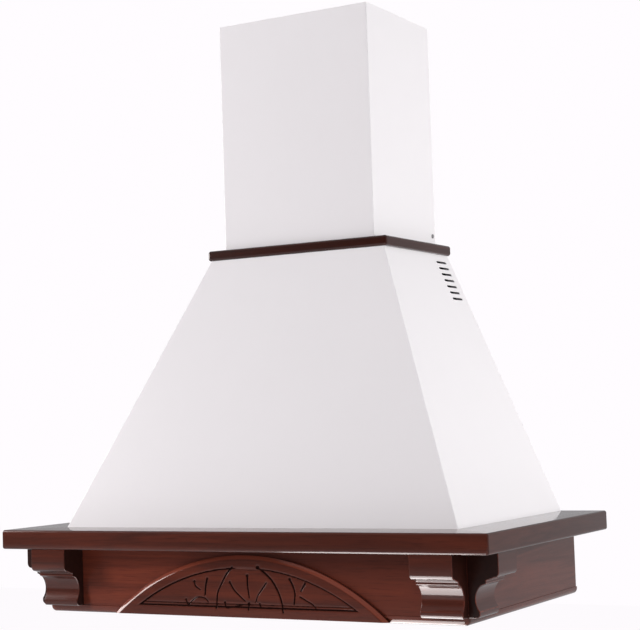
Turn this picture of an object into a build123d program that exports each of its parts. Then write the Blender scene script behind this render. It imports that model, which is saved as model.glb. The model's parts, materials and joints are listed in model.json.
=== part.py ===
from build123d import *
from math import cos, radians, sin, sqrt
import os

# A wall-mount range hood: a white sheet-steel canopy and flue cover on a moulded wooden frame.
# X runs to the viewer's right, Y into the wall and Z up, in millimetres.
# The origin is on the wall plane, on the centre line, level with the top of the wooden shelf.

# Sheet metal and clearances
sheet = 1.2
seat_gap = 0.3
running_gap = 0.05
slide_gap = 0.8
fold_radius = 2.0

# Wooden shelf, the widest board of the frame
shelf_width = 900.0
shelf_depth = 500.0
shelf_thickness = 32.0
shelf_board = 120.0
shelf_round = 4.0

# Wooden skirt under the shelf, and the bead along its lower edge
skirt_width = 780.0
skirt_depth = 445.0
skirt_board = 20.0
frame_height = 141.0
bead_height = 12.0
bead_proud = 1.5
bead_round = 6.0

# Corbels, two at each front corner
corbel_length = 70.0
corbel_reach = 51.0
corbel_block = 29.0
corbel_nose = 8.0
corbel_slope_reach = 30.0
corbel_slope_drop = 4.5
corbel_fillet_height = 4.5
corbel_ledge_reach = 22.0
corbel_ledge_drop = 3.0
corbel_neck_reach = 12.5
corbel_lip_reach = 19.0
corbel_lip_height = 10.0
corbel_lip_round = 6.0

# Segmental arch panel on the front of the skirt
arch_radius = 382.0
arch_peak_drop = 41.0
arch_thickness = 10.0
arch_offset = 6.0
arch_band = 20.0
arch_sill = 16.0
arch_recess = 2.0
arch_edge_break = 4.0
arch_foot_rise = 2.0
arch_fit = 0.2

# Sheet-steel canopy, a pyramid that leans back to the wall
canopy_base_width = 738.0
canopy_base_depth = 424.0
canopy_top_width = 344.0
canopy_top_depth = 249.0
canopy_height = 456.0
canopy_flange = 30.0
canopy_return = 18.0

# Outlet slots high on both sides of the canopy
slot_count = 7
slot_length = 40.0
slot_width = 4.0
slot_pitch = 11.1
slot_top_drop = 15.0
slot_wall_distance = 40.0

# Neck trim round the foot of the flue cover
trim_width = 356.0
trim_depth = 252.0
trim_height = 18.0
trim_round = 5.0

# Flue cover and the extension that slides up inside it
flue_width = 298.0
flue_depth = 238.0
flue_top = 875.0
flue_return = 20.0
extension_return = 35.0
extension_lift = 64.0
bracket_height = 30.0
bracket_thickness = 1.5
bracket_drop = 8.0
bracket_hole_radius = 3.0
bracket_hole_spacing = 160.0
bracket_lip = 12.0
extension_drop = 1.0
foot_width = 30.0
foot_reach = 25.0
foot_height = 45.0
foot_thickness = 1.5
foot_wall_distance = 5.0
flue_screw_rise = 37.0
flue_screw_wall_distance = 12.0

# Wall fixing
wall_hole_radius = 4.0
wall_hole_spacing = 240.0
wall_hole_drop = 76.0
wall_hole_lower = 60.0
rail_height = 40.0
rail_depth = 15.0
rail_thickness = 3.0
rail_overhang = 30.0
back_panel_inset = 1.0
back_skirt_width = 656.0

# Underside tray between the skirt boards
tray_recess = 23.0
tray_rim = 30.0

# Grease filters, hinged at their rear edge
filter_count = 2
filter_pitch = 320.0
filter_width = 298.0
filter_height = 9.0
filter_rear = 60.0
filter_set_back = 117.0
filter_side_bar = 12.0
filter_front_bar = 26.0
filter_gap_side = 1.0
filter_gap_front = 1.5
filter_gap_rear = 3.0
filter_mesh_height = 5.0
filter_rib = 5.0
mesh_columns = 10
mesh_rows = 7
mesh_hole_share = 0.72
filter_pin_radius = 2.0
filter_pin_inset = 4.0
filter_pin_reach = 4.5
ear_thickness = 1.5
ear_width = 12.0
ear_height = 10.0

# Sliding catch in the front bar of each filter
catch_width = 31.4
catch_length = 9.0
catch_inset = 6.3
catch_travel = 6.0
catch_wing = 1.5
catch_wing_height = 2.0
catch_tongue_width = 12.0
catch_tongue_height = 2.6
catch_tongue_reach = 12.0
catch_lip_width = 24.0
catch_lip_length = 3.0
catch_lip_drop = 6.0

# Push buttons under the front edge
button_count = 5
button_pitch = 26.0
button_width = 17.0
button_depth = 11.0
button_proud = 3.0
button_travel = 3.0
button_flange = 1.2
button_flange_height = 1.5
button_stem = 5.0
button_stem_length = 8.0
button_gap = 0.5
button_round = 1.5
fascia_width = 152.0
fascia_depth = 36.0
fascia_thickness = 3.0
fascia_round = 4.0
control_set_back = 67.0
switch_bank_width = 132.0
switch_bank_depth = 20.0
switch_bank_height = 16.0
control_box_width = 148.0
control_box_depth = 34.0
control_box_wall = 2.0

# Lamps, left and right of the buttons
lamp_spacing = 530.0
lamp_radius = 30.0
lamp_wall = 2.5
lamp_height = 32.0
lamp_flange = 6.0
lamp_flange_thickness = 2.0
lens_thickness = 3.0
lens_recess = 0.5

# Outlet collar and its two flaps
duct_radius = 75.0
collar_wall = 1.5
collar_height = 90.0
collar_wall_distance = 120.0
collar_flange = 18.0
flap_pivot_rise = 14.0
flap_pin_radius = 1.5
flap_barrel_radius = 3.0
flap_thickness = 1.2
flap_edge_gap = 1.0
flap_barrel_count = 5
flap_ledge = 3.0
flap_ledge_height = 2.0

# Blower: scroll housing, impeller and motor, on an axis along Y
outlet_width = 150.0
outlet_depth = 130.0
outlet_level = 385.0
blower_level = 250.0
scroll_radius = 122.0
scroll_step = 14.0
scroll_wall = 2.5
scroll_lip = 8.0
scroll_bisector = 45.0
inlet_radius = 58.0
impeller_radius = 72.0
impeller_eye_radius = 60.0
impeller_gap = 6.0
disc_thickness = 2.0
impeller_ring = 2.0
blade_count = 24
blade_thickness = 1.2
hub_radius = 12.0
hub_length = 26.0
shaft_radius = 4.0
motor_radius = 45.0
motor_length = 62.0
motor_proud = 14.0
motor_round = 6.0
motor_arm_width = 14.0
motor_arm_count = 3
motor_arm_reach = 84.0
motor_arm_start = 30.0
motor_bracket_thickness = 2.5
motor_bracket_ring = 7.0
adapter_wall = 1.5
adapter_flange = 10.0

# Terminal box under the canopy's top, with the cable inlet above it
terminal_width = 60.0
terminal_depth = 60.0
terminal_height = 36.0
terminal_wall = 2.0
terminal_round = 5.0
terminal_x = 125.0
terminal_wall_distance = 70.0
gland_radius = 8.0
gland_nut_radius = 12.0
gland_nut_height = 6.0
gland_bore_radius = 4.5
capacitor_radius = 16.0
capacitor_length = 55.0

# Screws
screw_radius = 2.0
screw_head_radius = 4.0
screw_head_height = 2.0
screw_grip = 12.0
screw_edge = 12.0
side_screw_shares = (0.2, 0.5, 0.8)
front_screw_shares = (-0.5, 0.0, 0.5)
tray_screw_shares = (0.2, 0.8)

# Levels and faces that follow from the sizes above
shelf_underside = -shelf_thickness
skirt_underside = bead_height - frame_height
frame_underside = -frame_height
arch_foot = frame_underside + arch_foot_rise
trim_top = canopy_height + trim_height
tray_level = frame_underside + tray_recess
tray_top = tray_level + sheet
tray_rear = sheet + seat_gap
tray_front = skirt_depth - skirt_board - seat_gap
tray_width = skirt_width - 2 * (skirt_board + seat_gap)
duct_bore = duct_radius - collar_wall
wall_hole_upper = canopy_height - wall_hole_drop
filter_depth = skirt_depth - filter_set_back - filter_rear
control_wall_distance = skirt_depth - control_set_back
front_plane = Plane.XZ.offset(skirt_depth)
filter_hinge_y = -filter_rear - filter_pin_inset
filter_hinge_z = tray_level + filter_height / 2
filter_places = [filter_pitch * (index - (filter_count - 1) / 2) for index in range(filter_count)]
button_places = [button_pitch * (index - (button_count - 1) / 2) for index in range(button_count)]
fascia_level = tray_level - fascia_thickness
button_seat = tray_level + seat_gap
switch_level = button_seat + button_flange_height + button_travel + seat_gap
flap_pivot_level = canopy_height + flap_pivot_rise
blower_x = outlet_width / 2 - scroll_radius
scroll_front = collar_wall_distance + outlet_depth / 2
scroll_rear = collar_wall_distance - outlet_depth / 2
sides = {"left": -1, "right": 1}


def keep(piece, name):
    """Name a finished piece and write it to its own file."""
    piece.part.label = name
    export_step(piece.part, f"parts/{name}.step")
    print(name, round(piece.part.volume))


def keep_together(pieces, name):
    """Write the separate solids of several pieces of one name to its file."""
    together = Compound([solid for piece in pieces for solid in piece.part.solids()])
    together.label = name
    export_step(together, f"parts/{name}.step")
    print(name, round(together.volume))


def canopy_half_width(height):
    """Half of the canopy's outer width at a height above the shelf."""
    share = height / canopy_height
    return (canopy_base_width + (canopy_top_width - canopy_base_width) * share) / 2


def canopy_depth(height):
    """How far the canopy's outer front stands from the wall at a height above the shelf."""
    share = height / canopy_height
    return canopy_base_depth + (canopy_top_depth - canopy_base_depth) * share


def board_plan(side, width, depth, band):
    """Corners, seen from above, of one board of a three-sided frame with mitred front corners."""
    outer_x = width / 2
    inner_x = outer_x - band
    inner_y = band - depth
    if side == "front":
        return [(-outer_x, -depth), (outer_x, -depth), (inner_x, inner_y), (-inner_x, inner_y)]
    hand = sides[side]
    return [(hand * outer_x, -depth), (hand * outer_x, 0), (hand * inner_x, 0), (hand * inner_x, inner_y)]


def mitred_board(side, width, depth, band, bottom, height, upper_round, lower_round):
    """One board of the frame, with its outer edges rounded above and below."""
    with BuildPart() as board:
        with BuildSketch(Plane.XY.offset(bottom)):
            Rectangle(width, depth, align=(Align.CENTER, Align.MAX))
        extrude(amount=height)
        corner_round = max(upper_round, lower_round)
        if corner_round:
            fillet(board.edges().filter_by(Axis.Z).group_by(Axis.Y)[0], corner_round)
        if upper_round:
            top_edges = board.edges().group_by(Axis.Z)[-1]
            fillet(top_edges.filter_by(lambda edge: edge.center().Y < -seat_gap), upper_round)
        if lower_round:
            bottom_edges = board.edges().group_by(Axis.Z)[0]
            fillet(bottom_edges.filter_by(lambda edge: edge.center().Y < -seat_gap), lower_round)
        with BuildSketch(Plane.XY.offset(bottom)):
            Polygon(*board_plan(side, width, depth, band), align=None)
        extrude(amount=height, mode=Mode.INTERSECT)
    return board


def arch_outline(inset, sill):
    """The segment of a circle that the arch panel fills, drawn smaller by an inset."""
    with Locations((arch_offset, -arch_peak_drop - arch_radius)):
        Circle(arch_radius - inset)
    with Locations((arch_offset, arch_foot + sill)):
        Rectangle(2 * arch_radius, 2 * arch_radius, align=(Align.CENTER, Align.MIN), mode=Mode.INTERSECT)


def corbel(plane):
    """A moulded corbel: its profile on a plane whose X points out from the board."""
    nose_level = shelf_underside - corbel_block
    slope_top = nose_level - corbel_nose
    fillet_top = slope_top - corbel_slope_drop
    fillet_bottom = fillet_top - corbel_fillet_height
    neck_top = fillet_bottom - corbel_ledge_drop
    neck_bottom = skirt_underside + corbel_lip_height
    neck_middle = (neck_top + neck_bottom) / 2
    with BuildPart() as piece:
        with BuildSketch(plane):
            with BuildLine():
                Polyline((0, skirt_underside), (0, shelf_underside), (corbel_reach, shelf_underside))
                Line((corbel_reach, shelf_underside), (corbel_reach, nose_level))
                RadiusArc(
                    (corbel_reach, nose_level), (corbel_reach - corbel_nose, slope_top), corbel_nose
                )
                Polyline(
                    (corbel_reach - corbel_nose, slope_top),
                    (corbel_slope_reach, fillet_top),
                    (corbel_slope_reach, fillet_bottom),
                    (corbel_ledge_reach, neck_top),
                )
                ThreePointArc(
                    (corbel_ledge_reach, neck_top),
                    (corbel_neck_reach, neck_middle),
                    (corbel_lip_reach, neck_bottom),
                )
                Line((corbel_lip_reach, neck_bottom), (corbel_lip_reach, skirt_underside + corbel_lip_round))
                RadiusArc(
                    (corbel_lip_reach, skirt_underside + corbel_lip_round),
                    (corbel_lip_reach - corbel_lip_round, skirt_underside),
                    corbel_lip_round,
                )
                Line((corbel_lip_reach - corbel_lip_round, skirt_underside), (0, skirt_underside))
            make_face()
        extrude(amount=corbel_length)
    return piece


def canopy_form(inset, rear):
    """The canopy's leaning pyramid, drawn smaller by an inset and cut off at a distance from the wall."""
    low = inset
    high = canopy_height - inset
    with BuildPart() as form:
        with BuildSketch(Plane.XZ.offset(rear)):
            Polygon(
                (inset - canopy_half_width(low), low),
                (canopy_half_width(low) - inset, low),
                (canopy_half_width(high) - inset, high),
                (inset - canopy_half_width(high), high),
                align=None,
            )
        extrude(amount=canopy_base_depth)
        with BuildSketch(Plane.YZ.offset(-canopy_base_width / 2)):
            Polygon(
                (-rear, low),
                (inset - canopy_depth(low), low),
                (inset - canopy_depth(high), high),
                (-rear, high),
                align=None,
            )
        extrude(amount=canopy_base_width, mode=Mode.INTERSECT)
    return form


def corner_plane(hand):
    """The plane through a front corner of the canopy that bisects its front and its side."""
    corner = Vector(hand * canopy_base_width / 2, -canopy_base_depth, 0)
    upper_corner = Vector(hand * canopy_top_width / 2, -canopy_top_depth, canopy_height)
    return Plane(origin=corner, z_dir=(upper_corner - corner).cross(Vector(hand, -1, 0)))


def sheet_channel(width, depth, rear, lip, bottom, height):
    """A folded cover with a front, two sides and two lips turned in at the rear."""
    with BuildPart() as cover:
        with BuildSketch(Plane.XY.offset(bottom)):
            with Locations((0, -rear)):
                Rectangle(width, depth - rear, align=(Align.CENTER, Align.MAX))
        extrude(amount=height)
        fillet(cover.edges().filter_by(Axis.Z).group_by(Axis.Y)[0], fold_radius)
        with BuildSketch(Plane.XY.offset(bottom)):
            with Locations((0, -rear - sheet)):
                Rectangle(width - 2 * sheet, depth - rear - 2 * sheet, align=(Align.CENTER, Align.MAX))
            with Locations((0, -rear)):
                Rectangle(width - 2 * lip, 2 * sheet, align=(Align.CENTER, Align.MAX))
        extrude(amount=height, mode=Mode.SUBTRACT)
    return cover


os.makedirs("parts", exist_ok=True)

# Places of the screws that hold the canopy down on the shelf, and the tray between the skirt boards
canopy_screw_x = canopy_base_width / 2 - sheet - screw_edge
canopy_screw_y = canopy_base_depth - sheet - screw_edge
canopy_screw_places = [
    (hand * canopy_screw_x, -canopy_base_depth * share)
    for hand in sides.values()
    for share in side_screw_shares
] + [(share * canopy_screw_x, -canopy_screw_y) for share in front_screw_shares]
tray_screw_places = [(-tray_front * share, tray_level + tray_rim - screw_edge) for share in tray_screw_shares]

# Wooden shelf and skirt: a front board and two side boards each, drilled for the screws they take
for side in ("front", "left", "right"):
    with BuildPart() as shelf:
        add(
            mitred_board(
                side, shelf_width, shelf_depth, shelf_board,
                shelf_underside, shelf_thickness, shelf_round, shelf_round,
            ).part
        )
        with BuildSketch(Plane.XY):
            with Locations(*canopy_screw_places):
                Circle(screw_radius)
        extrude(amount=-screw_grip, mode=Mode.SUBTRACT)
    keep(shelf, f"shelf_{side}")

    with BuildPart() as skirt:
        add(
            mitred_board(
                side, skirt_width, skirt_depth, skirt_board,
                skirt_underside, shelf_underside - skirt_underside, 0, 0,
            ).part
        )
        with BuildSketch(Plane.YZ.offset(-tray_width / 2 - screw_grip)):
            with Locations(*tray_screw_places):
                Circle(screw_radius)
        extrude(amount=tray_width + 2 * screw_grip, mode=Mode.SUBTRACT)
    keep(skirt, f"skirt_{side}")

bead_width = skirt_width + 2 * bead_proud
bead_depth = skirt_depth + bead_proud
bead_band = skirt_board + bead_proud
for side in sides:
    bead_side = mitred_board(
        side, bead_width, bead_depth, bead_band, frame_underside, bead_height, 0, bead_round
    )
    keep(bead_side, f"bead_{side}")

# The front bead is cut away where the foot of the arch panel covers it
with BuildPart() as bead_front:
    add(
        mitred_board(
            "front", bead_width, bead_depth, bead_band, frame_underside, bead_height, 0, bead_round
        ).part
    )
    with BuildSketch(front_plane):
        arch_outline(-arch_fit, -arch_fit)
    extrude(amount=arch_thickness, mode=Mode.SUBTRACT)
keep(bead_front, "bead_front")

# Arch panel: the upper part of a bevelled disc, with a raised rim round a sunk field
with BuildPart() as arch_panel:
    with BuildSketch(front_plane):
        with Locations((arch_offset, -arch_peak_drop - arch_radius)):
            Circle(arch_radius)
    extrude(amount=arch_thickness)
    chamfer(arch_panel.edges().filter_by(GeomType.CIRCLE).sort_by(Axis.Y)[0], arch_edge_break)
    with BuildSketch(front_plane):
        with Locations((arch_offset, arch_foot)):
            Rectangle(2 * arch_radius, 2 * arch_radius, align=(Align.CENTER, Align.MIN))
    extrude(amount=arch_thickness, mode=Mode.INTERSECT)
    with BuildSketch(front_plane.offset(arch_thickness - arch_recess)):
        arch_outline(arch_band, arch_sill)
    extrude(amount=arch_recess, mode=Mode.SUBTRACT)
keep(arch_panel, "arch_panel")

# Corbels: one on the front board and one on the side board at each corner
for side, hand in sides.items():
    front_end = skirt_width / 2 if hand > 0 else corbel_length - skirt_width / 2
    keep(
        corbel(Plane(origin=(front_end, -skirt_depth, 0), x_dir=(0, -1, 0), z_dir=(-1, 0, 0))),
        f"corbel_front_{side}",
    )
    side_end = corbel_length - skirt_depth if hand > 0 else -skirt_depth
    keep(
        corbel(Plane(origin=(hand * skirt_width / 2, side_end, 0), x_dir=(hand, 0, 0), z_dir=(0, -hand, 0))),
        f"corbel_side_{side}",
    )

# Neck trim: three boards that stand on the canopy and close round the flue cover
neck_band = (trim_width - flue_width) / 2 - seat_gap
for side in ("front", "left", "right"):
    with BuildPart() as neck_trim:
        add(
            mitred_board(
                side, trim_width, trim_depth, neck_band, canopy_height, trim_height, trim_round, trim_round
            ).part
        )
        with BuildSketch(Plane.XY.offset(canopy_height)):
            Rectangle(
                flue_width + 2 * seat_gap, flue_depth + seat_gap, align=(Align.CENTER, Align.MAX)
            )
        extrude(amount=trim_height, mode=Mode.SUBTRACT)
    keep(neck_trim, f"neck_trim_{side}")

# Canopy shell: front, sides and top in sheets that meet at mitred corners, with flanges and rear lips
with BuildPart() as canopy_shell:
    add(canopy_form(0, sheet).part)
    slanted = canopy_shell.edges().filter_by(
        lambda edge: abs(edge.position_at(0).Z - edge.position_at(1).Z) > canopy_height / 2
    )
    fillet(slanted.group_by(Axis.Y)[0], fold_radius)
    add(canopy_form(sheet, 2 * sheet).part, mode=Mode.SUBTRACT)
    with BuildSketch(Plane.XY):
        with Locations((0, -sheet)):
            Rectangle(
                canopy_base_width - 2 * (sheet + canopy_flange),
                canopy_base_depth - 2 * sheet - canopy_flange,
                align=(Align.CENTER, Align.MAX),
            )
    extrude(amount=sheet, mode=Mode.SUBTRACT)
    with BuildSketch(Plane.XZ.offset(sheet)):
        with BuildLine():
            Polyline(
                (canopy_return - canopy_half_width(0), sheet),
                (canopy_half_width(0) - canopy_return, sheet),
                (canopy_half_width(canopy_height) - canopy_return, canopy_height - sheet),
                (canopy_return - canopy_half_width(canopy_height), canopy_height - sheet),
                close=True,
            )
        make_face()
    extrude(amount=sheet, mode=Mode.SUBTRACT)
    with BuildSketch(Plane.YZ):
        slot_middle = canopy_height - slot_top_drop - slot_pitch * (slot_count - 1) / 2
        with Locations((-slot_wall_distance, slot_middle)):
            with GridLocations(0, slot_pitch, 1, slot_count):
                SlotOverall(slot_length, slot_width)
    extrude(amount=canopy_base_width / 2, both=True, mode=Mode.SUBTRACT)
    with BuildSketch(Plane.XY.offset(canopy_height)):
        with Locations((0, -collar_wall_distance)):
            Circle(duct_radius)
        with Locations((terminal_x, -terminal_wall_distance)):
            Circle(gland_radius)
    extrude(amount=-sheet, mode=Mode.SUBTRACT)
    with BuildSketch(Plane.XY):
        with Locations(*canopy_screw_places):
            Circle(screw_radius)
    extrude(amount=sheet, mode=Mode.SUBTRACT)
under_top = Plane.XY.offset(canopy_height - sheet)
with BuildPart() as canopy_top:
    add(canopy_shell.part)
    split(bisect_by=under_top, keep=Keep.TOP)
with BuildPart() as canopy_walls:
    add(canopy_shell.part)
    split(bisect_by=under_top, keep=Keep.BOTTOM)
    for hand in sides.values():
        split(bisect_by=corner_plane(hand), keep=Keep.BOTH)
keep_together([canopy_top, canopy_walls], "canopy_shell")

# Back panel, flat against the wall, with the holes that the wall screws go through
with BuildPart() as back_panel:
    with BuildSketch(Plane.XZ):
        Polygon(
            (back_panel_inset - canopy_half_width(0), 0),
            (canopy_half_width(0) - back_panel_inset, 0),
            (canopy_half_width(canopy_height) - back_panel_inset, canopy_height),
            (back_panel_inset - canopy_half_width(canopy_height), canopy_height),
            align=None,
        )
        Rectangle(back_skirt_width, -tray_level, align=(Align.CENTER, Align.MAX))
        with Locations((0, (wall_hole_upper + wall_hole_lower) / 2)):
            with GridLocations(wall_hole_spacing, wall_hole_upper - wall_hole_lower, 2, 2):
                Circle(wall_hole_radius, mode=Mode.SUBTRACT)
    extrude(amount=sheet)
keep(back_panel, "back_panel")

# Hanger rail: a steel channel behind the upper pair of wall holes
rail_length = wall_hole_spacing + 2 * rail_overhang
with BuildPart() as hanger_rail:
    with BuildSketch(Plane.YZ.offset(-rail_length / 2)):
        with Locations((-sheet, wall_hole_upper)):
            Rectangle(rail_depth, rail_height, align=(Align.MAX, Align.CENTER))
        with Locations((-sheet - rail_thickness, wall_hole_upper)):
            Rectangle(
                rail_depth,
                rail_height - 2 * rail_thickness,
                align=(Align.MAX, Align.CENTER),
                mode=Mode.SUBTRACT,
            )
    extrude(amount=rail_length)
    with BuildSketch(Plane.XZ.offset(sheet)):
        with Locations((0, wall_hole_upper)):
            with GridLocations(wall_hole_spacing, 0, 2, 1):
                Circle(wall_hole_radius)
    extrude(amount=rail_thickness, mode=Mode.SUBTRACT)
keep(hanger_rail, "hanger_rail")

# Underside tray: a shallow pan with openings for the filters, the lamps and the buttons
filter_opening_width = filter_width + 2 * filter_gap_side
filter_opening_rear = filter_rear - filter_gap_rear
filter_opening_front = filter_rear + filter_depth + filter_gap_front
with BuildPart() as underside_tray:
    with BuildSketch(Plane.XY.offset(tray_level)):
        with Locations((0, -tray_rear)):
            Rectangle(tray_width, tray_front - tray_rear, align=(Align.CENTER, Align.MAX))
    extrude(amount=tray_rim)
    with BuildSketch(Plane.XY.offset(tray_top)):
        with Locations((0, -tray_rear - sheet)):
            Rectangle(
                tray_width - 2 * sheet, tray_front - tray_rear - 2 * sheet, align=(Align.CENTER, Align.MAX)
            )
    extrude(amount=tray_rim, mode=Mode.SUBTRACT)
    with BuildSketch(Plane.XY.offset(tray_level)):
        for place in filter_places:
            with Locations((place, -filter_opening_rear)):
                Rectangle(
                    filter_opening_width,
                    filter_opening_front - filter_opening_rear,
                    align=(Align.CENTER, Align.MAX),
                )
        with Locations((0, -control_wall_distance)):
            Rectangle(switch_bank_width, switch_bank_depth)
            with GridLocations(lamp_spacing, 0, 2, 1):
                Circle(lamp_radius)
    extrude(amount=sheet, mode=Mode.SUBTRACT)
    ear_middle = filter_opening_width / 2 + seat_gap + ear_thickness / 2
    for place in filter_places:
        with BuildSketch(Plane.XY.offset(tray_top)):
            with Locations((place, filter_hinge_y)):
                with GridLocations(2 * ear_middle, 0, 2, 1):
                    Rectangle(ear_thickness, ear_width)
        extrude(amount=ear_height)
    with BuildSketch(Plane.YZ.offset(-tray_width / 2)):
        with Locations(*tray_screw_places):
            Circle(screw_radius)
    extrude(amount=tray_width, mode=Mode.SUBTRACT)
    with BuildSketch(Plane.YZ.offset(-tray_width / 2 + sheet)):
        with Locations((filter_hinge_y, filter_hinge_z)):
            Circle(filter_pin_radius + running_gap)
    extrude(amount=tray_width - 2 * sheet, mode=Mode.SUBTRACT)
keep(underside_tray, "underside_tray")

# Grease filters: an aluminium frame with hinge pins, an expanded mesh in it, and a sprung catch
catch_level = tray_level + seat_gap
catch_top = catch_level + catch_tongue_height + 2 * catch_wing_height
catch_rear = filter_rear + filter_depth - catch_inset - catch_length
pocket_roof = catch_top + seat_gap
wing_level = catch_level + catch_wing_height
tongue_level = tray_top + seat_gap
for side, place in zip(sides, filter_places):
    mesh_width = filter_width - 2 * filter_side_bar
    mesh_depth = filter_depth - filter_side_bar - filter_front_bar
    mesh_middle = -filter_rear - filter_side_bar - mesh_depth / 2
    filter_front = -filter_rear - filter_depth
    pocket_front = filter_front + catch_inset - seat_gap
    pocket_length = catch_length + catch_travel + 2 * seat_gap
    with BuildPart() as filter_frame:
        with BuildSketch(Plane.XY.offset(tray_level)):
            with Locations((place, -filter_rear)):
                Rectangle(filter_width, filter_depth, align=(Align.CENTER, Align.MAX))
            with Locations((place, mesh_middle)):
                Rectangle(mesh_width, mesh_depth, mode=Mode.SUBTRACT)
        extrude(amount=filter_height)
        with BuildSketch(Plane.XY.offset(tray_level)):
            with Locations((place, mesh_middle)):
                Rectangle(mesh_width, filter_rib)
                Rectangle(filter_rib, mesh_depth)
        extrude(amount=(filter_height - filter_mesh_height) / 2)
        with BuildSketch(Plane.XY.offset(tray_level)):
            with Locations((place, pocket_front)):
                Rectangle(catch_width + 2 * seat_gap, pocket_length, align=(Align.CENTER, Align.MIN))
        extrude(amount=pocket_roof - tray_level, mode=Mode.SUBTRACT)
        with BuildSketch(Plane.XY.offset(wing_level - seat_gap)):
            with Locations((place, pocket_front)):
                Rectangle(
                    catch_width + 2 * (catch_wing + seat_gap), pocket_length, align=(Align.CENTER, Align.MIN)
                )
        extrude(amount=catch_wing_height + 2 * seat_gap, mode=Mode.SUBTRACT)
        with BuildSketch(Plane.XY.offset(tongue_level - seat_gap)):
            with Locations((place, filter_front)):
                Rectangle(
                    catch_tongue_width + 2 * seat_gap, catch_inset, align=(Align.CENTER, Align.MIN)
                )
        extrude(amount=catch_tongue_height + 2 * seat_gap, mode=Mode.SUBTRACT)
        for hand in sides.values():
            with BuildSketch(Plane.YZ.offset(place + hand * filter_width / 2)):
                with Locations((filter_hinge_y, filter_hinge_z)):
                    Circle(filter_pin_radius)
            extrude(amount=hand * filter_pin_reach)
    keep(filter_frame, f"filter_frame_{side}")

    with BuildPart() as filter_mesh:
        with BuildSketch(Plane.XY.offset(tray_level + (filter_height - filter_mesh_height) / 2)):
            with Locations((place, mesh_middle)):
                Rectangle(mesh_width, mesh_depth)
                column_pitch = mesh_width / (mesh_columns + 1)
                row_pitch = mesh_depth / (mesh_rows + 1)
                with GridLocations(column_pitch, row_pitch, mesh_columns, mesh_rows):
                    RegularPolygon(
                        mesh_hole_share * row_pitch / 2, 4, rotation=45, mode=Mode.SUBTRACT
                    )
        extrude(amount=filter_mesh_height)
    keep(filter_mesh, f"filter_mesh_{side}")

    with BuildPart() as filter_catch:
        with BuildSketch(Plane.XY.offset(catch_level)):
            with Locations((place, -catch_rear)):
                Rectangle(catch_width, catch_length, align=(Align.CENTER, Align.MAX))
        extrude(amount=catch_top - catch_level)
        with BuildSketch(Plane.XY.offset(wing_level)):
            with Locations((place, -catch_rear)):
                Rectangle(catch_width + 2 * catch_wing, catch_length, align=(Align.CENTER, Align.MAX))
        extrude(amount=catch_wing_height)
        with BuildSketch(Plane.XY.offset(tongue_level)):
            with Locations((place, -catch_rear - catch_length)):
                Rectangle(catch_tongue_width, catch_tongue_reach, align=(Align.CENTER, Align.MAX))
        extrude(amount=catch_tongue_height)
        with BuildSketch(Plane.XY.offset(catch_level)):
            with Locations((place, -catch_rear)):
                Rectangle(catch_lip_width, catch_lip_length, align=(Align.CENTER, Align.MAX))
        extrude(amount=-catch_lip_drop)
        fillet(filter_catch.edges().group_by(Axis.Z)[0].filter_by(Axis.X), catch_lip_length / 3)
    keep(filter_catch, f"filter_catch_{side}")

# Control fascia under the tray, with a window for each button
with BuildPart() as control_fascia:
    with BuildSketch(Plane.XY.offset(fascia_level)):
        with Locations((0, -control_wall_distance)):
            RectangleRounded(fascia_width, fascia_depth, fascia_round)
            with GridLocations(button_pitch, 0, button_count, 1):
                Rectangle(button_width + 2 * button_gap, button_depth + 2 * button_gap, mode=Mode.SUBTRACT)
    extrude(amount=fascia_thickness)
    chamfer(control_fascia.faces().sort_by(Axis.Z)[0].outer_wire().edges(), fascia_thickness / 3)
keep(control_fascia, "control_fascia")

# Push buttons: a rounded cap below, a flange that stops on the fascia, and a stem above
for number, place in enumerate(button_places, start=1):
    with BuildPart() as push_button:
        with BuildSketch(Plane.XY.offset(fascia_level - button_proud)):
            with Locations((place, -control_wall_distance)):
                Rectangle(button_width, button_depth)
        extrude(amount=button_seat - fascia_level + button_proud)
        fillet(push_button.edges().group_by(Axis.Z)[0], button_round)
        with BuildSketch(Plane.XY.offset(button_seat)):
            with Locations((place, -control_wall_distance)):
                Rectangle(button_width + 2 * button_flange, button_depth + 2 * button_flange)
        extrude(amount=button_flange_height)
        with BuildSketch(Plane.XY.offset(button_seat + button_flange_height)):
            with Locations((place, -control_wall_distance)):
                Rectangle(button_stem, button_stem)
        extrude(amount=button_stem_length)
    keep(push_button, f"push_button_{number}")

# Switch bank with a socket for each stem, in a box that stands on the tray
with BuildPart() as switch_bank:
    with BuildSketch(Plane.XY.offset(switch_level)):
        with Locations((0, -control_wall_distance)):
            Rectangle(switch_bank_width, switch_bank_depth)
    extrude(amount=switch_bank_height)
    with BuildSketch(Plane.XY.offset(switch_level)):
        with Locations((0, -control_wall_distance)):
            with GridLocations(button_pitch, 0, button_count, 1):
                Rectangle(button_stem + 2 * button_gap, button_stem + 2 * button_gap)
    extrude(amount=button_stem_length, mode=Mode.SUBTRACT)
keep(switch_bank, "switch_bank")

with BuildPart() as control_box:
    with BuildSketch(Plane.XY.offset(tray_top)):
        with Locations((0, -control_wall_distance)):
            RectangleRounded(control_box_width, control_box_depth, fascia_round)
    extrude(amount=switch_level + switch_bank_height + control_box_wall - tray_top)
    with BuildSketch(Plane.XY.offset(tray_top)):
        with Locations((0, -control_wall_distance)):
            Rectangle(control_box_width - 2 * control_box_wall, control_box_depth - 2 * control_box_wall)
    extrude(amount=switch_level + switch_bank_height - tray_top, mode=Mode.SUBTRACT)
keep(control_box, "control_box")

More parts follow.
